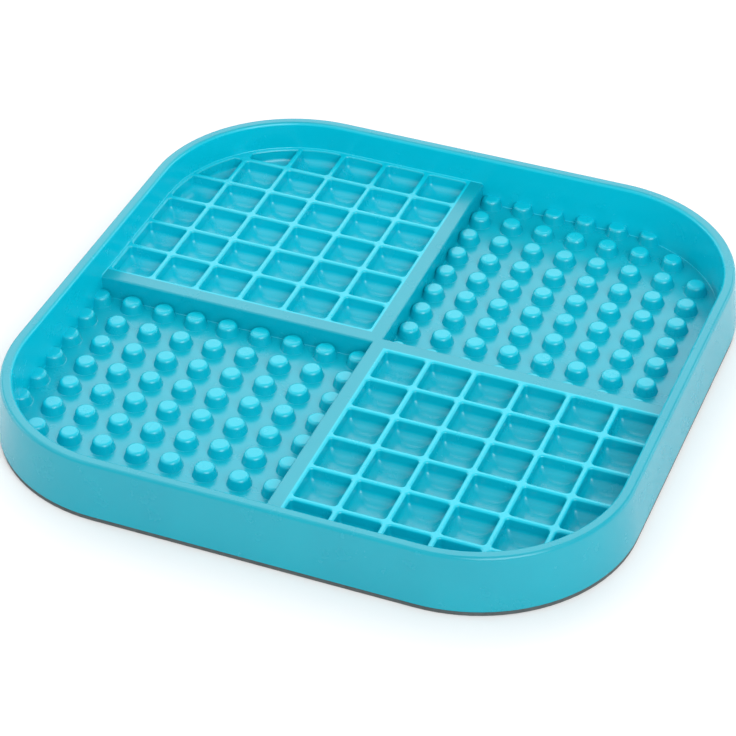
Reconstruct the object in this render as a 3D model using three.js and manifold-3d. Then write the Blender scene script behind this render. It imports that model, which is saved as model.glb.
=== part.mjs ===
// A square slow feeder tray with round corners, moulded in one piece from soft rubber, on a thin
// dark grip pad. A cross divides its inside into four fields. Two opposite fields are grids of square
// pockets with bowl-shaped bottoms, and the other two are sunk floors covered in low round domes.
// Millimetres, +Z up. The origin is the middle of the underside. +X runs along the front wall to the
// right and +Y from the front wall to the back wall.
import * as THREE from 'three';
import { mergeVertices } from 'three/addons/utils/BufferGeometryUtils.js';
import Module from 'manifold-3d';

// Driving dimensions
const OVERALL_WIDTH = 280; // across the base, both ways
const OVERALL_HEIGHT = 28;
const WALL_FLARE = 2.3; // how much further out the wall stands at the base than at the lip
const CORNER_CENTRE = 70; // from the middle to the centre of each corner's arcs, both ways
const LIP_WIDTH = 5.3;
const LIP_ROUND = 1.7; // radius of the lip's two edges
const PAD_THICKNESS = 1.8;
const PAD_INSET = 0.3; // the pad's edge stands in from the wall by this
const SEAT_GAP = 0.3; // between the pad and the tray

const GRID_TOP = 14; // height of the pocket ribs and of the divider
const PITCH = 21.2; // pocket to pocket
const POCKETS = 6; // a side
const POCKET_OFFSET = 0.228 * PITCH; // from the middle of the tray to the first rib's centre line
const RIB_WIDTH = 0.13 * PITCH;
const POCKET_CORNER = 1.6; // radius of a pocket's corners, seen from above
const POCKET_DEPTH = 7.8;
const POCKET_BOWL_DEPTH = 3.7; // the last part of the depth, where the walls turn into the floor
const POCKET_BOWL_INSET = 6; // how far the flat of the floor stands in from the pocket's walls
const FIELD_LEDGE = 1.6; // rim left between the outer pockets and the wall
const POCKET_LEAST = 5.5; // a pocket of which the corner's arc leaves less than this is left out

const DIVIDER_EDGE = 1.9; // from the middle of the tray to the divider's edge over a dome field
const DOME_FLOOR = 3.5; // height of the sunk floor
const DOME_PITCH = 15.56;
const DOMES = 9; // a side, less those that the corner's arc leaves out
const DOME_OFFSET = 6.4; // from the middle of the tray to the first dome's centre
const DOME_RADIUS = 5.5;
const DOME_TOP_RADIUS = 4.1;
const DOME_HEIGHT = 4.8;
const DOME_OVERHANG = 0.5; // how far past the wall's face a dome's centre may lie

// Fineness of the round shapes
const CORNER_STEPS = 12; // steps around each corner of the tray
const LIP_STEPS = 2; // steps around each of the lip's edges
const POCKET_CORNER_STEPS = 1;
const POCKET_BOWL_STEPS = 2;
const DOME_SIDES = 8;

const ABOVE = 3; // how far a cutting shape reaches past the face it opens
const BURY = 0.8; // how far a dome's foot reaches into the floor

const baseHalf = OVERALL_WIDTH / 2;
const lipHalf = baseHalf - WALL_FLARE;
const innerHalf = lipHalf - LIP_WIDTH;
const trayBottom = PAD_THICKNESS + SEAT_GAP;

const wasm = await Module();
wasm.setup();

// The points of an arc about (cx, cy), from one angle to another in quarter turns.
function arc(cx, cy, radius, quarterFrom, quarterTo, steps) {
  return Array.from({ length: steps + 1 }, (_, k) => {
    const a = ((quarterFrom + ((quarterTo - quarterFrom) * k) / steps) * Math.PI) / 2;
    return [cx + radius * Math.cos(a), cy + radius * Math.sin(a)];
  });
}

// A square with round corners about (cx, cy), counterclockwise, given where its arcs are centred.
function roundSquare(half, arcCentre, steps, cx = 0, cy = 0) {
  const radius = half - arcCentre;
  return [[1, 1], [-1, 1], [-1, -1], [1, -1]].flatMap(([sx, sy], quarter) =>
    arc(cx + sx * arcCentre, cy + sy * arcCentre, radius, quarter, quarter + 1, steps));
}

// A closed solid from rings of equally many points, listed upwards, with a flat cap at each end.
function loft(rings) {
  const count = rings[0].points.length;
  const positions = rings.flatMap(({ points, z }) => points.flatMap(([x, y]) => [x, y, z]));
  const top = (rings.length - 1) * count;
  const index = [];
  for (let r = 0; r + 1 < rings.length; r += 1) {
    for (let k = 0; k < count; k += 1) {
      const a = r * count + k;
      const b = r * count + ((k + 1) % count);
      index.push(a, b, b + count, a, b + count, a + count);
    }
  }
  for (let k = 1; k + 1 < count; k += 1) {
    index.push(0, k + 1, k);
    index.push(top, top + k, top + k + 1);
  }
  const geometry = new THREE.BufferGeometry();
  geometry.setAttribute('position', new THREE.Float32BufferAttribute(positions, 3));
  geometry.setIndex(index);
  return geometry;
}

// A flat outline raised from one height to another.
function prism(points, z0, z1) {
  const shape = new THREE.Shape(points.map(([x, y]) => new THREE.Vector2(x, y)));
  const geometry = new THREE.ExtrudeGeometry(shape, { depth: z1 - z0, bevelEnabled: false });
  return geometry.translate(0, 0, z0);
}

function toSolid(geometry) {
  const bare = geometry.clone();
  bare.deleteAttribute('normal');
  bare.deleteAttribute('uv');
  const merged = mergeVertices(bare, 1e-4);
  return new wasm.Manifold(new wasm.Mesh({
    numProp: 3,
    vertProperties: Float32Array.from(merged.attributes.position.array),
    triVerts: Uint32Array.from(merged.index.array),
  }));
}

function toGeometry(solid) {
  const mesh = solid.getMesh();
  const geometry = new THREE.BufferGeometry();
  geometry.setAttribute('position', new THREE.BufferAttribute(mesh.vertProperties, 3));
  geometry.setIndex(new THREE.BufferAttribute(mesh.triVerts, 1));
  geometry.computeVertexNormals();
  return geometry;
}

// The block that everything is cut from: the outer wall up to the lip, with the lip's outer edge round.
function outerBody() {
  const edge = arc(lipHalf - LIP_ROUND, OVERALL_HEIGHT - LIP_ROUND, LIP_ROUND, 0, 1, LIP_STEPS);
  const levels = [[baseHalf, trayBottom], ...edge];
  return toSolid(loft(levels.map(([half, z]) => (
    { points: roundSquare(half, CORNER_CENTRE, CORNER_STEPS), z }))));
}

// The space inside the wall, from the divider's top up, with the lip's inner edge round.
function innerSpace() {
  const edge = arc(innerHalf + LIP_ROUND, OVERALL_HEIGHT - LIP_ROUND, LIP_ROUND, 2, 1, LIP_STEPS);
  const levels = [[innerHalf, GRID_TOP], ...edge, [innerHalf + LIP_ROUND, OVERALL_HEIGHT + ABOVE]];
  return toSolid(loft(levels.map(([half, z]) => (
    { points: roundSquare(half, CORNER_CENTRE, CORNER_STEPS), z }))));
}

// The outline of the back right field, from its inner corner out to the round corner of the tray.
function fieldOutline(inner, outer) {
  return [[inner, inner], [outer, inner],
    ...arc(CORNER_CENTRE, CORNER_CENTRE, outer - CORNER_CENTRE, 0, 1, CORNER_STEPS),
    [inner, outer]];
}

// An outline of the back right quarter, turned by quarter turns into another quarter.
function turnQuarter(points, quarter) {
  let turned = points;
  for (let k = 0; k < quarter; k += 1) {
    turned = turned.map(([x, y]) => [-y, x]);
  }
  return turned;
}

// One pocket's space: a small flat floor, walls that curve up from it as a quarter of an ellipse, and
// straight walls above.
function pocketSpace(cx, cy) {
  const half = (PITCH - RIB_WIDTH) / 2;
  const bowl = Array.from({ length: POCKET_BOWL_STEPS + 1 }, (_, k) => {
    const a = (Math.PI / 2) * (k / POCKET_BOWL_STEPS);
    const inset = POCKET_BOWL_INSET * (1 - Math.sin(a));
    return [half - inset, GRID_TOP - POCKET_DEPTH + POCKET_BOWL_DEPTH * (1 - Math.cos(a))];
  });
  const levels = [...bowl, [half, GRID_TOP + ABOVE]];
  return toSolid(loft(levels.map(([size, z]) => (
    { points: roundSquare(size, size - POCKET_CORNER, POCKET_CORNER_STEPS, cx, cy), z }))));
}

// How far a point lies outside the centre of the corner's arcs, and 0 on the straight stretches.
function cornerReach(x, y) {
  return Math.hypot(Math.max(0, Math.abs(x) - CORNER_CENTRE), Math.max(0, Math.abs(y) - CORNER_CENTRE));
}

// The pockets of one field. sx and sy are the signs of the field's quarter. Those that the corner's
// arc crosses are trimmed by it, and one that it all but fills is left out.
function pocketField(sx, sy, quarter) {
  const ledgeHalf = innerHalf - FIELD_LEDGE;
  const arcRadius = ledgeHalf - CORNER_CENTRE;
  const limit = toSolid(prism(turnQuarter(fieldOutline(0, ledgeHalf), quarter), 0, OVERALL_HEIGHT));
  const half = (PITCH - RIB_WIDTH) / 2;
  const pockets = [];
  for (let i = 0; i < POCKETS; i += 1) {
    for (let j = 0; j < POCKETS; j += 1) {
      const x = POCKET_OFFSET + (i + 0.5) * PITCH;
      const y = POCKET_OFFSET + (j + 0.5) * PITCH;
      const nearReach = cornerReach(x - half, y - half);
      const farReach = cornerReach(x + half, y + half);
      if (nearReach < arcRadius - POCKET_LEAST) {
        const space = pocketSpace(sx * x, sy * y);
        pockets.push(farReach > arcRadius ? space.intersect(limit) : space);
      }
    }
  }
  return pockets.reduce((field, pocket) => field.add(pocket));
}

// One dome: a low button with leaning sides and a flat top, its foot buried in the floor.
function dome(x, y) {
  const ring = (radius, z) => ({
    points: Array.from({ length: DOME_SIDES }, (_, k) => {
      const a = (Math.PI * (2 * k + 1)) / DOME_SIDES;
      return [x + radius * Math.cos(a), y + radius * Math.sin(a)];
    }),
    z,
  });
  return toSolid(loft([
    ring(DOME_RADIUS, DOME_FLOOR - BURY),
    ring(DOME_RADIUS, DOME_FLOOR),
    ring(DOME_TOP_RADIUS, DOME_FLOOR + DOME_HEIGHT),
  ]));
}

// The domes of one field, on a square grid, as far as their centres stay inside the corner's arc.
function domeField(sx, sy) {
  const arcRadius = innerHalf - CORNER_CENTRE;
  const domes = [];
  for (let i = 0; i < DOMES; i += 1) {
    for (let j = 0; j < DOMES; j += 1) {
      const x = DOME_OFFSET + i * DOME_PITCH;
      const y = DOME_OFFSET + j * DOME_PITCH;
      if (cornerReach(x, y) < arcRadius + DOME_OVERHANG) {
        domes.push(dome(sx * x, sy * y));
      }
    }
  }
  return domes.reduce((field, one) => field.add(one));
}

function trayGeometry() {
  let tray = outerBody().subtract(innerSpace());
  const sunk = fieldOutline(DIVIDER_EDGE, innerHalf);
  const sunkTop = OVERALL_HEIGHT - LIP_ROUND;
  for (const quarter of [0, 2]) {
    tray = tray.subtract(toSolid(prism(turnQuarter(sunk, quarter), DOME_FLOOR, sunkTop)));
  }
  tray = tray.subtract(pocketField(-1, 1, 1)).subtract(pocketField(1, -1, 3));
  tray = tray.add(domeField(1, 1)).add(domeField(-1, -1));
  return toGeometry(tray);
}

function padGeometry() {
  const points = roundSquare(baseHalf - PAD_INSET, CORNER_CENTRE, CORNER_STEPS);
  return loft([{ points, z: 0 }, { points, z: PAD_THICKNESS }]);
}

const rubber = new THREE.MeshStandardMaterial({ color: 0x1fb4cf, roughness: 0.45, metalness: 0 });
const grip = new THREE.MeshStandardMaterial({ color: 0x3f4547, roughness: 0.8, metalness: 0 });

function piece(name, geometry, material) {
  const mesh = new THREE.Mesh(geometry, material);
  mesh.name = name;
  return mesh;
}

const feeder = new THREE.Group();
feeder.add(piece('tray', trayGeometry(), rubber), piece('base_pad', padGeometry(), grip));

export default feeder;
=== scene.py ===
"""A square slow feeder tray in turquoise moulded rubber on a dark grip pad.

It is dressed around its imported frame. The tray is one closed mesh: its block, its sunk fields, its
pockets and its domes are lofts, cut and joined to one moulding. A loft is rings of points worked out as
whole arrays, one ring above the other.
All sizes are in metres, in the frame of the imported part: +X along the front wall, +Y to the back wall,
+Z up, with the origin in the middle of the underside.
"""

import logging
from dataclasses import dataclass, field
from enum import Enum

import bpy
import numpy as np
from mathutils import Matrix, Vector

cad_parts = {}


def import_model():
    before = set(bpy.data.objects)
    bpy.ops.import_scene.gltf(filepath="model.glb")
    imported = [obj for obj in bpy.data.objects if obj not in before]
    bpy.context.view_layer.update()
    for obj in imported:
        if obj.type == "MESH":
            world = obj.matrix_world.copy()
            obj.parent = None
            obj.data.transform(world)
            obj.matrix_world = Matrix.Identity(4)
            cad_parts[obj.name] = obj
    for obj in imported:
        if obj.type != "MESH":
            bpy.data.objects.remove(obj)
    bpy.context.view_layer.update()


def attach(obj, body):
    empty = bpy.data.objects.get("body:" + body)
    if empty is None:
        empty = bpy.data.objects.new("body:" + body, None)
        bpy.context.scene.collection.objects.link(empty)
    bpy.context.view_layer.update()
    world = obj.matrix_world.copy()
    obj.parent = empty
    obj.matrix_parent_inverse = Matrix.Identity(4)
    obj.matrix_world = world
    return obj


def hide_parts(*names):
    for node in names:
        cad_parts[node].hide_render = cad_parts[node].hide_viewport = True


log = logging.getLogger("feeder")

MM = 0.001
QUARTER = np.pi / 2
# The values of a noise between which a finish runs from its one end to its other.
CLOUD_RANGE = (0.3, 0.7)


class Cut(Enum):
    """How one closed mesh changes another."""

    TAKE_AWAY = "DIFFERENCE"
    JOIN = "UNION"
    KEEP_SHARED = "INTERSECT"


@dataclass(frozen=True)
class TraySizes:
    """The sizes of the moulding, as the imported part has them, and the fine rounds on its edges.

    A half is half a clear or outer width, and a round is a radius. The offsets lead from the middle of
    the tray to the first pocket's edge and to the first dome's middle. pocket_least is how far a pocket
    has to reach into the field to be made, and dome_overhang how far past the wall's face a dome's middle
    may lie. bowl_inset is how far a pocket's flat bottom lies inside its walls. dome_cap is the radius of
    a dome's flat top, and shoulder_drop the shoulder's height for each metre of its width.
    """

    base_half: float = 140.0 * MM
    lip_half: float = 137.7 * MM
    lip_width: float = 5.3 * MM
    lip_round: float = 1.7 * MM
    corner_centre: float = 70.0 * MM
    bottom: float = 2.1 * MM
    top: float = 28.0 * MM
    grid_top: float = 14.0 * MM
    foot_round: float = 0.5 * MM
    hem_round: float = 0.4 * MM

    pitch: float = 21.2 * MM
    pockets: int = 6
    pocket_offset: float = 0.228 * 21.2 * MM
    rib_width: float = 0.13 * 21.2 * MM
    rib_round: float = 1.1 * MM
    pocket_corner: float = 1.5 * MM
    pocket_depth: float = 7.8 * MM
    bowl_depth: float = 3.7 * MM
    bowl_inset: float = 6.5 * MM
    pocket_least: float = 5.5 * MM
    field_ledge: float = 1.6 * MM

    divider_edge: float = 1.9 * MM
    divider_round: float = 1.0 * MM
    dome_floor: float = 3.5 * MM
    dome_floor_round: float = 0.4 * MM
    dome_pitch: float = 15.56 * MM
    domes: int = 9
    dome_offset: float = 6.4 * MM
    dome_overhang: float = 0.5 * MM
    dome_radius: float = 5.3 * MM
    dome_height: float = 4.8 * MM
    dome_cap: float = 2.8 * MM
    dome_shoulder: float = 1.8 * MM
    shoulder_drop: float = 1.1
    dome_foot: float = 0.5 * MM

    @property
    def inner_half(self) -> float:
        """Half the clear width between the walls."""
        return self.lip_half - self.lip_width

    @property
    def pocket_half(self) -> float:
        """Half the clear width of a pocket between its ribs."""
        return (self.pitch - self.rib_width) / 2


def arc_points(centre: tuple[float, float], radius: float, start: float, steps: int) -> np.ndarray:
    """Points on a quarter circle, centre plus radius times (cos, sin) of evenly spaced angles.

    Args:
        centre: the circle's centre.
        radius: its radius.
        start: the first angle, counted in quarter turns.
        steps: how many steps the quarter has.

    Returns:
        An array of steps + 1 rows of x and y.
    """
    angle = (start + np.linspace(0.0, 1.0, steps + 1)) * QUARTER
    return np.column_stack([centre[0] + radius * np.cos(angle), centre[1] + radius * np.sin(angle)])


def round_square(half: float, arc_centre: float, steps: int) -> np.ndarray:
    """A square with round corners, counterclockwise: four quarter circles joined by straight sides.

    Args:
        half: half its width.
        arc_centre: how far each corner's centre lies from the middle, both ways.
        steps: how many steps a corner has.

    Returns:
        An array of 4 * (steps + 1) rows of x and y.
    """
    signs = ((1, 1), (-1, 1), (-1, -1), (1, -1))
    radius = half - arc_centre
    return np.vstack([
        arc_points((sx * arc_centre, sy * arc_centre), radius, quarter, steps)
        for quarter, (sx, sy) in enumerate(signs)
    ])


def field_outline(inner: float, outer: float, arc_centre: float, steps: int) -> np.ndarray:
    """The back right field seen from above: three square corners, and one that follows the tray's corner.

    Args:
        inner: where its two sides along the divider lie.
        outer: where its two sides along the wall lie.
        arc_centre: the centre of the tray's corner, both ways.
        steps: how many steps the round corner has.

    Returns:
        An array of rows of x and y, counterclockwise.
    """
    corner = arc_points((arc_centre, arc_centre), outer - arc_centre, 0, steps)
    return np.vstack([[inner, inner], [outer, inner], corner, [inner, outer]])


def turn(points: np.ndarray, quarters: int) -> np.ndarray:
    """Points turned about the vertical axis by whole quarter turns, counterclockwise."""
    c, s = ((1, 0), (0, 1), (-1, 0), (0, -1))[quarters % 4]
    return points @ np.array([[c, s], [-s, c]], float)


@dataclass
class Loft:
    """A closed surface through rings of equally many points, with a cap on each end.

    Vertex k of ring r is joined to its neighbours on the same ring and on the rings below and above.
    Each cap is one flat face over the end ring.
    """

    rings: list[np.ndarray] = field(default_factory=list)

    def add(self, outline: np.ndarray, height: float) -> None:
        """Lays one more ring on top: the outline at that height."""
        self.rings.append(np.column_stack([outline, np.full(len(outline), height)]))

    def mesh(self, places: np.ndarray) -> tuple[np.ndarray, list[tuple[int, ...]]]:
        """The loft repeated at each place.

        Args:
            places: rows of x, y and z that are added to every vertex of a copy.

        Returns:
            The vertices of all copies, and their faces as vertex numbers.
        """
        count = len(self.rings[0])
        one = np.vstack(self.rings)
        k = np.arange(count)
        level = count * np.arange(len(self.rings) - 1)[:, None]
        a, b = level + k, level + (k + 1) % count
        quads = np.stack([a, b, b + count, a + count], -1).reshape(-1, 4)
        bottom, top = k[::-1], k + count * (len(self.rings) - 1)
        verts = (places[:, None, :] + one[None, :, :]).reshape(-1, 3)
        faces: list[tuple[int, ...]] = []
        for start in range(0, len(places) * len(one), len(one)):
            faces.extend(map(tuple, (quads + start).tolist()))
            faces.append(tuple((bottom + start).tolist()))
            faces.append(tuple((top + start).tolist()))
        return verts, faces


def make_object(name: str, parts: list[tuple[np.ndarray, list[tuple[int, ...]]]]) -> bpy.types.Object:
    """One mesh object from several sets of vertices and faces.

    Args:
        name: the object's name.
        parts: pairs of vertices and faces; each pair numbers its own vertices from zero.

    Returns:
        The object, linked to the scene.
    """
    verts: list[np.ndarray] = []
    faces: list[tuple[int, ...]] = []
    start = 0
    for part_verts, part_faces in parts:
        verts.append(part_verts)
        faces.extend(tuple(v + start for v in face) for face in part_faces)
        start += len(part_verts)
    mesh = bpy.data.meshes.new(name)
    mesh.from_pydata(np.vstack(verts).tolist(), [], faces)
    mesh.update()
    obj = bpy.data.objects.new(name, mesh)
    bpy.context.scene.collection.objects.link(obj)
    return obj


def change_by(body: bpy.types.Object, tool: bpy.types.Object, cut: Cut) -> None:
    """Changes a closed mesh by another, and removes the other one.

    Args:
        body: the mesh that stays.
        tool: the mesh that it is cut by or joined with.
        cut: which of the two it is.
    """
    modifier = body.modifiers.new(cut.name, "BOOLEAN")
    modifier.operation = cut.value
    modifier.solver = "MANIFOLD"
    modifier.object = tool
    graph = bpy.context.evaluated_depsgraph_get()
    made = bpy.data.meshes.new_from_object(body.evaluated_get(graph))
    body.modifiers.remove(modifier)
    old, body.data = body.data, made
    bpy.data.meshes.remove(old)
    bpy.data.objects.remove(tool)


def shade(obj: bpy.types.Object, crease_degrees: float) -> None:
    """Smooth shading that stays crisp at creases, with flat faces kept flat.

    Args:
        obj: the mesh object.
        crease_degrees: edges that bend more than this stay sharp.
    """
    obj.data.shade_smooth()
    obj.data.set_sharp_from_angle(angle=np.radians(crease_degrees))
    weighted = obj.modifiers.new("even_normals", "WEIGHTED_NORMAL")
    weighted.keep_sharp = True


class Shader:
    """A node tree for one material, with short calls for the nodes that the finishes need."""

    def __init__(self, name: str) -> None:
        """Starts an empty material with a shader and an output, read in object coordinates."""
        self.material = bpy.data.materials.new(name)
        self.material.use_nodes = True
        self.nodes = self.material.node_tree.nodes
        self.links = self.material.node_tree.links
        self.bsdf = self.nodes["Principled BSDF"]
        self.place = self.nodes.new("ShaderNodeTexCoord").outputs["Object"]

    def noise(self, scale: float, detail: float, rough: float = 0.5) -> bpy.types.NodeSocket:
        """A cloudy noise of that many features a metre.

        Args:
            scale: how many features lie along a metre.
            detail: how many finer layers are added.
            rough: how strong the finer layers are.

        Returns:
            The socket with its value.
        """
        node = self.nodes.new("ShaderNodeTexNoise")
        node.inputs["Scale"].default_value = scale
        node.inputs["Detail"].default_value = detail
        node.inputs["Roughness"].default_value = rough
        self.links.new(self.place, node.inputs["Vector"])
        return node.outputs["Fac"]

    def ramp(self, value: bpy.types.NodeSocket, low: float, high: float, to_low: float,
             to_high: float) -> bpy.types.NodeSocket:
        """A value brought from one range to another, and held at its ends."""
        node = self.nodes.new("ShaderNodeMapRange")
        node.inputs["From Min"].default_value = low
        node.inputs["From Max"].default_value = high
        node.inputs["To Min"].default_value = to_low
        node.inputs["To Max"].default_value = to_high
        self.links.new(value, node.inputs["Value"])
        return node.outputs["Result"]

    def blend(self, amount: bpy.types.NodeSocket, first: tuple[float, ...] | bpy.types.NodeSocket,
              second: tuple[float, ...]) -> bpy.types.NodeSocket:
        """Two colours mixed by an amount from 0 to 1; the first may be a socket."""
        node = self.nodes.new("ShaderNodeMix")
        node.data_type = "RGBA"
        into = {s.identifier: s for s in node.inputs}
        if isinstance(first, bpy.types.NodeSocket):
            self.links.new(first, into["A_Color"])
        else:
            into["A_Color"].default_value = (*first, 1.0)
        into["B_Color"].default_value = (*second, 1.0)
        self.links.new(amount, into["Factor_Float"])
        return next(s for s in node.outputs if s.identifier == "Result_Color")

    def math(self, operation: str, first: bpy.types.NodeSocket,
             second: bpy.types.NodeSocket | float | None = None) -> bpy.types.NodeSocket:
        """One sum on one or two values; the second may be a plain number."""
        node = self.nodes.new("ShaderNodeMath")
        node.operation = operation
        self.links.new(first, node.inputs[0])
        if isinstance(second, bpy.types.NodeSocket):
            self.links.new(second, node.inputs[1])
        elif second is not None:
            node.inputs[1].default_value = second
        return node.outputs["Value"]

    def parts(self, vector: bpy.types.NodeSocket) -> list[bpy.types.NodeSocket]:
        """The x, y and z of a vector."""
        node = self.nodes.new("ShaderNodeSeparateXYZ")
        self.links.new(vector, node.inputs["Vector"])
        return list(node.outputs)

    def bump(self, height: bpy.types.NodeSocket, distance: float, strength: float,
             under: bpy.types.NodeSocket | None = None) -> bpy.types.NodeSocket:
        """A relief of that depth in metres, laid over another one if it is given."""
        node = self.nodes.new("ShaderNodeBump")
        node.inputs["Distance"].default_value = distance
        node.inputs["Strength"].default_value = strength
        self.links.new(height, node.inputs["Height"])
        if under is not None:
            self.links.new(under, node.inputs["Normal"])
        return node.outputs["Normal"]

    def feed(self, socket: bpy.types.NodeSocket, name: str) -> None:
        """Joins a socket to the shader's input of that name."""
        self.links.new(socket, self.bsdf.inputs[name])


@dataclass(frozen=True)
class MouldedRubber:
    """The tray's finish: satin turquoise rubber, a little cloudy, with a fine moulded grain.

    Painted light: the thin ribs, the dome caps, the floors and the wall's inner face are painted paler
    than the lip, the divider's top and the outer face. This is a painted glow for the light that passes
    through the thin rubber and fills the tray. Each share of painted glow runs from 0, which is the body's
    own colour, to 1, which is the painted glow colour. A pair of heights or reaches is where a share
    starts and where it is full. The slant is how far y minus x runs, each way, while the pockets' painted
    glow grows towards the back left.
    """

    deep: tuple[float, float, float] = (0.0, 0.318, 0.418)
    light: tuple[float, float, float] = (0.0, 0.345, 0.445)
    # The painted glow colour: a paler turquoise that stands in for light through the thin rubber and
    # inside the tray.
    painted_glow: tuple[float, float, float] = (0.0, 0.515, 0.655)
    corner_centre: float = 70.0 * MM
    wall_reach: tuple[float, float] = (61.9 * MM, 62.2 * MM)
    inside_reach: tuple[float, float] = (62.6 * MM, 63.6 * MM)
    rib_heights: tuple[float, float] = (12.9 * MM, 13.8 * MM)
    dome_heights: tuple[float, float] = (6.6 * MM, 8.0 * MM)
    wall_heights: tuple[float, float] = (14.3 * MM, 15.5 * MM)
    height_fade: float = 0.2 * MM
    field_top: float = 14.2 * MM
    dome_top: float = 8.5 * MM
    divider_half: float = 4.4 * MM
    # Painted light: the shares of painted glow for the floors, for the pockets (front right to back left)
    # and for the dome caps.
    painted_light_slant: float = 130.0 * MM
    floor_painted_glow: float = 0.38
    pocket_painted_glow: tuple[float, float] = (0.25, 0.8)
    dome_painted_glow: float = 0.85
    roughness: tuple[float, float] = (0.21, 0.29)
    refraction: float = 1.48
    cloud_scale: float = 28.0
    smudge_scale: float = 84.0
    grain_scale: float = 1500.0
    grain_depth: float = 0.02 * MM
    grain_strength: float = 0.5

    def band(self, shader: Shader, z: bpy.types.NodeSocket, heights: tuple[float, float],
             top: float) -> bpy.types.NodeSocket:
        """A value that rises from 0 to 1 between two heights, and falls back to 0 above a third.

        Args:
            shader: the material's node tree.
            z: the height of each place.
            heights: where the value starts to rise and where it is 1.
            top: above this it falls back.

        Returns:
            The socket with the value.
        """
        rising = shader.ramp(z, *heights, 0.0, 1.0)
        return shader.math("MULTIPLY", rising, shader.ramp(z, top, top + self.height_fade, 1.0, 0.0))

    def reach(self, shader: Shader, x: bpy.types.NodeSocket,
              y: bpy.types.NodeSocket) -> bpy.types.NodeSocket:
        """How far each place lies beyond the centre of the tray's round corner, in metres.

        It is the root of the sum of the squares of what x and y have beyond that centre.

        Args:
            shader: the material's node tree.
            x: the x of each place.
            y: the y of each place.

        Returns:
            The socket with the distance.
        """
        squares = []
        for value in (x, y):
            beyond = shader.math("SUBTRACT", shader.math("ABSOLUTE", value), self.corner_centre)
            squares.append(shader.math("POWER", shader.math("MAXIMUM", beyond, 0.0), 2.0))
        return shader.math("SQRT", shader.math("ADD", *squares))

    def painted_glow_share(self, shader: Shader) -> bpy.types.NodeSocket:
        """How much painted glow each place gets, from 0 to 1: the greatest share that the tray's parts
        give it.

        The pocket fields are where x times y is below zero, and the dome fields where it is above. The
        pockets' painted glow grows towards the back left, as painted light from there, and the wall's
        inner face is painted pale all over.

        Args:
            shader: the material's node tree.

        Returns:
            The socket with the share.
        """
        x, y, z = shader.parts(shader.place)
        half = self.divider_half
        product = shader.math("MULTIPLY", x, y)
        across = shader.ramp(shader.math("ABSOLUTE", x), half, half + self.height_fade, 0.0, 1.0)
        along = shader.ramp(shader.math("ABSOLUTE", y), half, half + self.height_fade, 0.0, 1.0)
        beside = shader.math("MULTIPLY", across, along)
        grid_side = shader.math("MULTIPLY", beside, shader.ramp(product, -half ** 2, 0.0, 1.0, 0.0))
        dome_side = shader.math("MULTIPLY", beside, shader.ramp(product, 0.0, half ** 2, 0.0, 1.0))
        below = shader.ramp(z, *self.rib_heights, 1.0, 0.0)
        floors = shader.math("MULTIPLY", below, self.floor_painted_glow)
        # Painted light from the back left: the pockets' share of painted glow grows with y minus x.
        lean_to_painted_light = shader.ramp(shader.math("SUBTRACT", y, x), -self.painted_light_slant, self.painted_light_slant, *self.pocket_painted_glow)
        pockets = shader.math("MULTIPLY", shader.math("MULTIPLY", grid_side, below), lean_to_painted_light)
        ribs = shader.math("MULTIPLY", grid_side, self.band(shader, z, self.rib_heights, self.field_top))
        domes = shader.math("MULTIPLY", dome_side, self.band(shader, z, self.dome_heights, self.dome_top))
        domes = shader.math("MULTIPLY", domes, self.dome_painted_glow)
        reach = self.reach(shader, x, y)
        wall = shader.ramp(reach, *self.wall_reach, 0.0, 1.0)
        most = shader.math("MAXIMUM", wall, shader.ramp(z, *self.wall_heights, 0.0, 1.0))
        for share in (floors, pockets, ribs, domes):
            most = shader.math("MAXIMUM", most, share)
        return shader.math("MULTIPLY", most, shader.ramp(reach, *self.inside_reach, 1.0, 0.0))

    def build(self) -> bpy.types.Material:
        """Makes the material."""
        shader = Shader("turquoise_rubber")
        cloud = shader.noise(self.cloud_scale, detail=4.0)
        body = shader.blend(shader.ramp(cloud, *CLOUD_RANGE, 0.0, 1.0), self.deep, self.light)
        # Painted glow: the body colour is blended towards the paler painted glow colour by each place's
        # share.
        shader.feed(shader.blend(self.painted_glow_share(shader), body, self.painted_glow), "Base Color")
        grain = shader.noise(self.grain_scale, detail=2.0, rough=0.6)
        smudge = shader.noise(self.smudge_scale, detail=5.0, rough=0.6)
        shader.feed(shader.ramp(smudge, *CLOUD_RANGE, *self.roughness), "Roughness")
        shader.feed(shader.bump(grain, self.grain_depth, self.grain_strength), "Normal")
        shader.bsdf.inputs["IOR"].default_value = self.refraction
        return shader.material


@dataclass(frozen=True)
class GripRubber:
    """The pad's finish: matt dark grey rubber with a pebbled grain."""

    dark: tuple[float, float, float] = (0.055, 0.07, 0.072)
    light: tuple[float, float, float] = (0.09, 0.11, 0.112)
    roughness: tuple[float, float] = (0.7, 0.9)
    pebble_scale: float = 420.0
    pebble_depth: float = 0.12 * MM
    pebble_strength: float = 0.8

    def build(self) -> bpy.types.Material:
        """Makes the material."""
        shader = Shader("grip_rubber")
        pebble = shader.noise(self.pebble_scale, detail=3.0, rough=0.6)
        tone = shader.ramp(pebble, *CLOUD_RANGE, 0.0, 1.0)
        shader.feed(shader.blend(tone, self.dark, self.light), "Base Color")
        shader.feed(shader.ramp(pebble, *CLOUD_RANGE, *self.roughness), "Roughness")
        shader.feed(shader.bump(pebble, self.pebble_depth, self.pebble_strength), "Normal")
        return shader.material


@dataclass(frozen=True)
class PaleFloor:
    """The floor's finish: plain matt near-white."""

    colour: tuple[float, float, float] = (0.86, 0.86, 0.86)
    lift: float = 1.02
    roughness: float = 0.9
    grain_scale: float = 40.0

    def build(self) -> bpy.types.Material:
        """Makes the material."""
        shader = Shader("pale_floor")
        grain = shader.noise(self.grain_scale, detail=2.0)
        whiter = tuple(c * self.lift for c in self.colour)
        shader.feed(shader.blend(grain, self.colour, whiter), "Base Color")
        shader.bsdf.inputs["Roughness"].default_value = self.roughness
        return shader.material


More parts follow.
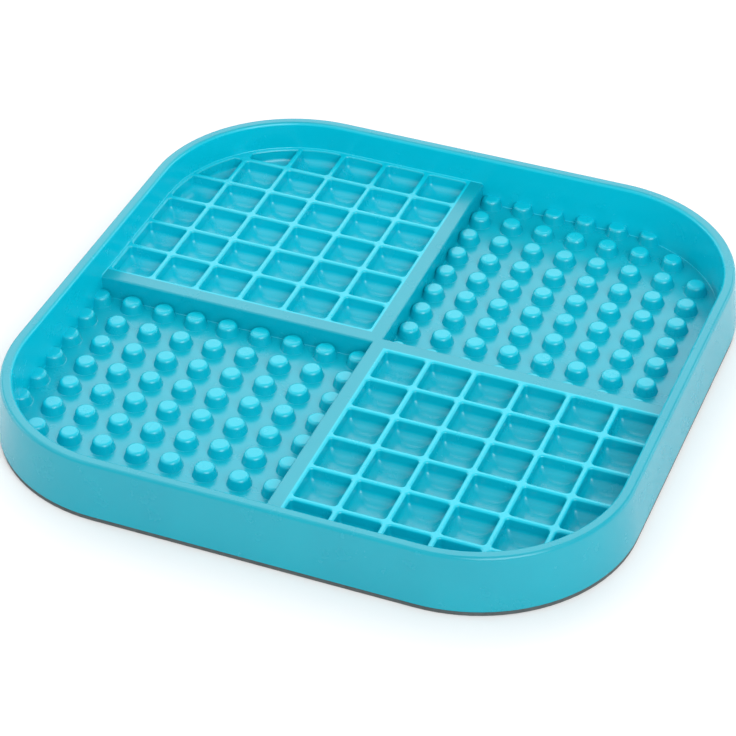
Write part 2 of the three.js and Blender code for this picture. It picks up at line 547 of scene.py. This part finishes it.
@dataclass
class FeederTray:
    """The one-piece moulding: walls, floor, divider, pockets and domes.

    The steps are counted over a quarter turn. A space that is taken away reaches above the face that it
    opens, and a dome is buried in its floor, so that no two faces lie on each other.
    """

    sizes: TraySizes = field(default_factory=TraySizes)
    corner_steps: int = 24
    hem_steps: int = 2
    round_steps: int = 5
    pocket_corner_steps: int = 5
    bowl_steps: int = 6
    dome_sides: int = 16
    foot_steps: int = 2
    shoulder_steps: int = 4
    crease_degrees: float = 38.0
    above: float = 3.0 * MM
    bury: float = 0.8 * MM

    def outer_block(self) -> bpy.types.Object:
        """The solid block inside the outer wall, up to the lip, with its outer edges round."""
        s = self.sizes
        loft = Loft()
        for angle in np.linspace(0.0, QUARTER, self.hem_steps + 1):
            half = s.base_half - s.hem_round * (1 - np.sin(angle))
            self.lay(loft, half, s.bottom + s.hem_round * (1 - np.cos(angle)))
        for angle in np.linspace(0.0, QUARTER, self.round_steps + 1):
            half = s.lip_half - s.lip_round * (1 - np.cos(angle))
            self.lay(loft, half, s.top - s.lip_round * (1 - np.sin(angle)))
        return make_object("block", [loft.mesh(np.zeros((1, 3)))])

    def lay(self, loft: Loft, half: float, height: float) -> None:
        """Adds a ring of the tray's own outline to a loft."""
        loft.add(round_square(half, self.sizes.corner_centre, self.corner_steps), height)

    def inner_space(self) -> bpy.types.Object:
        """The space between the walls above the ribs, round at its foot and at the lip's inner edge."""
        s = self.sizes
        loft = Loft()
        for angle in np.linspace(0.0, QUARTER, self.round_steps + 1):
            half = s.inner_half - s.foot_round * (1 - np.sin(angle))
            self.lay(loft, half, s.grid_top + s.foot_round * (1 - np.cos(angle)))
        for angle in np.linspace(0.0, QUARTER, self.round_steps + 1):
            half = s.inner_half + s.lip_round * (1 - np.cos(angle))
            self.lay(loft, half, s.top - s.lip_round * (1 - np.sin(angle)))
        self.lay(loft, s.inner_half + s.lip_round, s.top + self.above)
        return make_object("inner_space", [loft.mesh(np.zeros((1, 3)))])

    def sunk_space(self, quarters: int) -> tuple[np.ndarray, list[tuple[int, ...]]]:
        """The space over one dome field, round at its foot and at the divider's edge.

        Args:
            quarters: how many quarter turns it lies from the back right field.

        Returns:
            Its vertices and faces.
        """
        s = self.sizes
        loft = Loft()

        def lay(inner: float, outer: float, height: float) -> None:
            """Adds a ring of the field's outline, turned into its quarter."""
            outline = field_outline(inner, outer, s.corner_centre, self.corner_steps)
            loft.add(turn(outline, quarters), height)

        for angle in np.linspace(0.0, QUARTER, self.round_steps + 1):
            step_in = s.dome_floor_round * (1 - np.sin(angle))
            height = s.dome_floor + s.dome_floor_round * (1 - np.cos(angle))
            lay(s.divider_edge + step_in, s.inner_half - step_in, height)
        for angle in np.linspace(0.0, QUARTER, self.round_steps + 1):
            step_out = s.divider_round * (1 - np.cos(angle))
            height = s.grid_top - s.divider_round * (1 - np.sin(angle))
            lay(s.divider_edge - step_out, s.inner_half, height)
        lay(s.divider_edge - s.divider_round, s.inner_half, s.grid_top + self.above)
        return loft.mesh(np.zeros((1, 3)))

    def pocket_levels(self) -> list[tuple[float, float]]:
        """How far in from its walls a pocket's outline stands at each height, from the floor up.

        The bowl is a quarter ellipse from the floor to the wall. The rib's edge is a quarter circle.
        """
        s = self.sizes
        floor = s.grid_top - s.pocket_depth
        levels = []
        for angle in np.linspace(0.0, QUARTER, self.bowl_steps + 1):
            height = floor + s.bowl_depth * (1 - np.cos(angle))
            levels.append((s.bowl_inset * (1 - np.sin(angle)), height))
        for angle in np.linspace(0.0, QUARTER, self.round_steps):
            height = s.grid_top - s.rib_round * (1 - np.sin(angle))
            levels.append((-s.rib_round * (1 - np.cos(angle)), height))
        levels.append((-s.rib_round, s.grid_top + self.above))
        return levels

    def pocket_loft(self) -> Loft:
        """One pocket's space, about its own middle."""
        s = self.sizes
        loft = Loft()
        for step_in, height in self.pocket_levels():
            half = s.pocket_half - step_in
            radius = s.pocket_corner - min(step_in, 0.0)
            loft.add(round_square(half, half - radius, self.pocket_corner_steps), height)
        return loft

    def limit_space(self, quarters: int) -> tuple[np.ndarray, list[tuple[int, ...]]]:
        """What the ledge along the wall leaves of a pocket field, with the pockets' own edges.

        Args:
            quarters: how many quarter turns it lies from the back right field.

        Returns:
            Its vertices and faces.
        """
        s = self.sizes
        loft = Loft()
        for step_in, height in self.pocket_levels():
            outer = s.inner_half - s.field_ledge - step_in
            loft.add(turn(field_outline(0.0, outer, s.corner_centre, self.corner_steps), quarters), height)
        return loft.mesh(np.zeros((1, 3)))

    def corner_reach(self, x: np.ndarray, y: np.ndarray) -> np.ndarray:
        """How far points lie beyond the centre of the tray's corner, and 0 on the straight stretches."""
        centre = self.sizes.corner_centre
        return np.hypot(np.maximum(0.0, np.abs(x) - centre), np.maximum(0.0, np.abs(y) - centre))

    def grid(self, count: int, first: float, pitch: float) -> tuple[np.ndarray, np.ndarray]:
        """A square grid of places in the back right quarter, as two arrays of x and y."""
        along = first + pitch * np.arange(count)
        x, y = np.meshgrid(along, along, indexing="ij")
        return x.ravel(), y.ravel()

    def pockets(self) -> tuple[bpy.types.Object, bpy.types.Object]:
        """The pockets of both fields: whole ones, and those that the corner's arc trims.

        Returns:
            Two objects, the second already trimmed.
        """
        s = self.sizes
        x, y = self.grid(s.pockets, s.pocket_offset + s.pitch / 2, s.pitch)
        arc = s.inner_half - s.field_ledge - s.corner_centre
        there = self.corner_reach(x - s.pocket_half, y - s.pocket_half) < arc - s.pocket_least
        whole = self.corner_reach(x + s.pocket_half, y + s.pocket_half) < arc
        loft = self.pocket_loft()
        made = []
        for name, chosen in (("pockets", there & whole), ("corner_pockets", there & ~whole)):
            places = np.column_stack([x[chosen], y[chosen]])
            both = np.vstack([turn(places, 1), turn(places, 3)])
            flat = np.column_stack([both, np.zeros(len(both))])
            made.append(make_object(name, [loft.mesh(flat)]))
        limit = make_object("limit", [self.limit_space(1), self.limit_space(3)])
        change_by(made[1], limit, Cut.KEEP_SHARED)
        return made[0], made[1]

    def dome_profile(self) -> list[tuple[float, float]]:
        """A dome's radius and height above its floor, from its buried foot to the rim of its flat cap.

        The foot is a hollow quarter ellipse and the shoulder a round one, and a sloping side joins them.
        """
        s = self.sizes
        shoulder, foot = s.dome_shoulder, s.dome_foot
        profile = [(s.dome_radius + foot, -self.bury)]
        for angle in np.linspace(0.0, QUARTER, self.foot_steps + 1)[:-1]:
            profile.append((s.dome_radius + foot * (1 - np.sin(angle)), foot * (1 - np.cos(angle))))
        for angle in np.linspace(0.0, QUARTER, self.shoulder_steps + 1):
            radius = s.dome_cap + shoulder * np.cos(angle)
            profile.append((radius, s.dome_height - shoulder * s.shoulder_drop * (1 - np.sin(angle))))
        return profile

    def domes(self) -> bpy.types.Object:
        """The domes of both fields: one profile turned about an upright axis at each place."""
        s = self.sizes
        loft = Loft()
        angle = 2 * np.pi * (np.arange(self.dome_sides) + 0.5) / self.dome_sides
        circle = np.column_stack([np.cos(angle), np.sin(angle)])
        for radius, height in self.dome_profile():
            loft.add(circle * radius, s.dome_floor + height)
        x, y = self.grid(s.domes, s.dome_offset, s.dome_pitch)
        there = self.corner_reach(x, y) < s.inner_half - s.corner_centre + s.dome_overhang
        places = np.column_stack([x[there], y[there]])
        both = np.vstack([places, -places])
        return make_object("domes", [loft.mesh(np.column_stack([both, np.zeros(len(both))]))])

    def build(self, finish: MouldedRubber) -> bpy.types.Object:
        """Makes the moulding in its place and gives it its finish."""
        tray = self.outer_block()
        change_by(tray, self.inner_space(), Cut.TAKE_AWAY)
        sunk = make_object("sunk_fields", [self.sunk_space(0), self.sunk_space(2)])
        change_by(tray, sunk, Cut.TAKE_AWAY)
        whole, trimmed = self.pockets()
        change_by(tray, whole, Cut.TAKE_AWAY)
        change_by(tray, trimmed, Cut.TAKE_AWAY)
        change_by(tray, self.domes(), Cut.JOIN)
        tray.name = tray.data.name = "moulded_tray"
        tray.data.materials.clear()
        tray.data.materials.append(finish.build())
        shade(tray, self.crease_degrees)
        return tray


@dataclass
class GripPad:
    """The thin dark pad under the moulding, with its two edges slightly round."""

    half: float = 139.7 * MM
    corner_centre: float = 70.0 * MM
    thickness: float = 1.8 * MM
    edge_round: float = 0.35 * MM
    corner_steps: int = 24
    round_steps: int = 3
    crease_degrees: float = 50.0

    def build(self, finish: GripRubber) -> bpy.types.Object:
        """Makes the pad in its place and gives it its finish."""
        loft = Loft()
        quarter = np.linspace(0.0, QUARTER, self.round_steps + 1)
        low = [(self.edge_round * (1 - np.sin(a)), self.edge_round * (1 - np.cos(a))) for a in quarter]
        high = [(step_in, self.thickness - height) for step_in, height in reversed(low)]
        for step_in, height in low + high:
            outline = round_square(self.half - step_in, self.corner_centre, self.corner_steps)
            loft.add(outline, height)
        pad = make_object("grip_pad", [loft.mesh(np.zeros((1, 3)))])
        pad.data.materials.append(finish.build())
        shade(pad, self.crease_degrees)
        return pad


@dataclass(frozen=True)
class SoftLight:
    """An oblong soft light: its name, where its middle is, its width and height, and its power."""

    name: str
    place: tuple[float, float, float]
    size: tuple[float, float]
    watts: float

    def hang(self, aim: tuple[float, float, float]) -> None:
        """Puts the light in its place, looking at the aim."""
        data = bpy.data.lights.new(self.name, "AREA")
        data.shape = "RECTANGLE"
        data.energy = self.watts
        data.size, data.size_y = self.size
        light = bpy.data.objects.new(self.name, data)
        spot = Vector(self.place)
        turned = (spot - Vector(aim)).to_track_quat("Z", "Y").to_matrix().to_4x4()
        light.matrix_world = Matrix.Translation(spot) @ turned
        bpy.context.scene.collection.objects.link(light)


@dataclass(frozen=True)
class Studio:
    """The floor, the lights and the camera.

    The camera's angles are in degrees, and its distance and shifts are counted in pocket pitches.
    """

    pitch: float = 21.2 * MM
    aim_height: float = 14.0 * MM
    azimuth: float = 21.383
    elevation: float = 37.561
    roll: float = 0.258
    distance: float = 54.444
    shift_right: float = -0.1962
    shift_up: float = -0.5768
    lens: float = 129.92
    sensor: float = 36.0
    clip: tuple[float, float] = (0.05, 50.0)
    floor_half: float = 6.0
    sky_strength: float = 0.55
    light_aim: tuple[float, float, float] = (0.0, 0.0, 0.01)
    lights: tuple[SoftLight, ...] = (
        SoftLight("backdrop", (-0.62, 1.6, 1.4), (2.15, 1.8), 21.0),
        SoftLight("right_wall", (1.32, 1.66, 0.53), (2.34, 0.7), 10.5),
        SoftLight("left_wall", (-2.12, 0.23, 0.53), (2.34, 0.7), 13.5),
        SoftLight("left_box", (-0.33, -0.13, 0.5), (0.5, 0.5), 0.65),
        SoftLight("right_box", (0.33, -0.1, 0.5), (0.5, 0.5), 0.4),
        SoftLight("front_box", (1.146, -1.3, 1.354), (1.43, 1.43), 30.0),
    )

    def camera(self) -> None:
        """Puts the camera where the photograph's pocket grid says that it stood.

        It stands back from the middle of the ribs' top by the distance, shifted right and up, and looks
        straight along that distance.
        """
        az, el, roll = np.radians([self.azimuth, self.elevation, self.roll])
        back = Vector((np.sin(az) * np.cos(el), -np.cos(az) * np.cos(el), np.sin(el)))
        right = Vector((np.cos(az), np.sin(az), 0.0))
        up = back.cross(right)
        side = right * np.cos(roll) + up * np.sin(roll)
        top = up * np.cos(roll) - right * np.sin(roll)
        place = (back * self.distance + side * self.shift_right + top * self.shift_up) * self.pitch
        place.z += self.aim_height
        data = bpy.data.cameras.new("camera")
        data.lens = self.lens
        data.sensor_width = self.sensor
        data.clip_start, data.clip_end = self.clip
        camera = bpy.data.objects.new("camera", data)
        axes = Matrix((side, top, back)).transposed().to_4x4()
        camera.matrix_world = Matrix.Translation(place) @ axes
        bpy.context.scene.collection.objects.link(camera)
        bpy.context.scene.camera = camera

    def floor(self, finish: PaleFloor) -> None:
        """Lays a plain pale floor under the tray."""
        h = self.floor_half
        corners = np.array([(-h, -h, 0.0), (h, -h, 0.0), (h, h, 0.0), (-h, h, 0.0)])
        floor = make_object("floor", [(corners, [(0, 1, 2, 3)])])
        floor.data.materials.append(finish.build())

    def sky(self) -> None:
        """Gives the world an even white glow, and the scene its plain view transform."""
        world = bpy.data.worlds.new("studio")
        world.use_nodes = True
        glow = world.node_tree.nodes["Background"]
        glow.inputs["Color"].default_value = (1.0, 1.0, 1.0, 1.0)
        glow.inputs["Strength"].default_value = self.sky_strength
        bpy.context.scene.world = world
        bpy.context.scene.view_settings.view_transform = "Standard"

    def build(self) -> None:
        """Sets the whole studio up."""
        self.camera()
        self.floor(PaleFloor())
        for light in self.lights:
            light.hang(self.light_aim)
        self.sky()


def main() -> None:
    """Builds the studio, the tray and its pad around the frame, and reports each piece."""
    logging.basicConfig(level=logging.INFO, format="%(name)s: %(message)s")
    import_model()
    Studio().build()

    tray = FeederTray().build(MouldedRubber())
    pad = GripPad().build(GripRubber())
    for piece, node, slot in ((tray, "tray", "tray_rubber"), (pad, "base_pad", "grip_rubber")):
        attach(piece, "root")
        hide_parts(node)
        log.info("%s: %d faces", piece.name, len(piece.data.polygons))


if __name__ == "__main__":
    main()
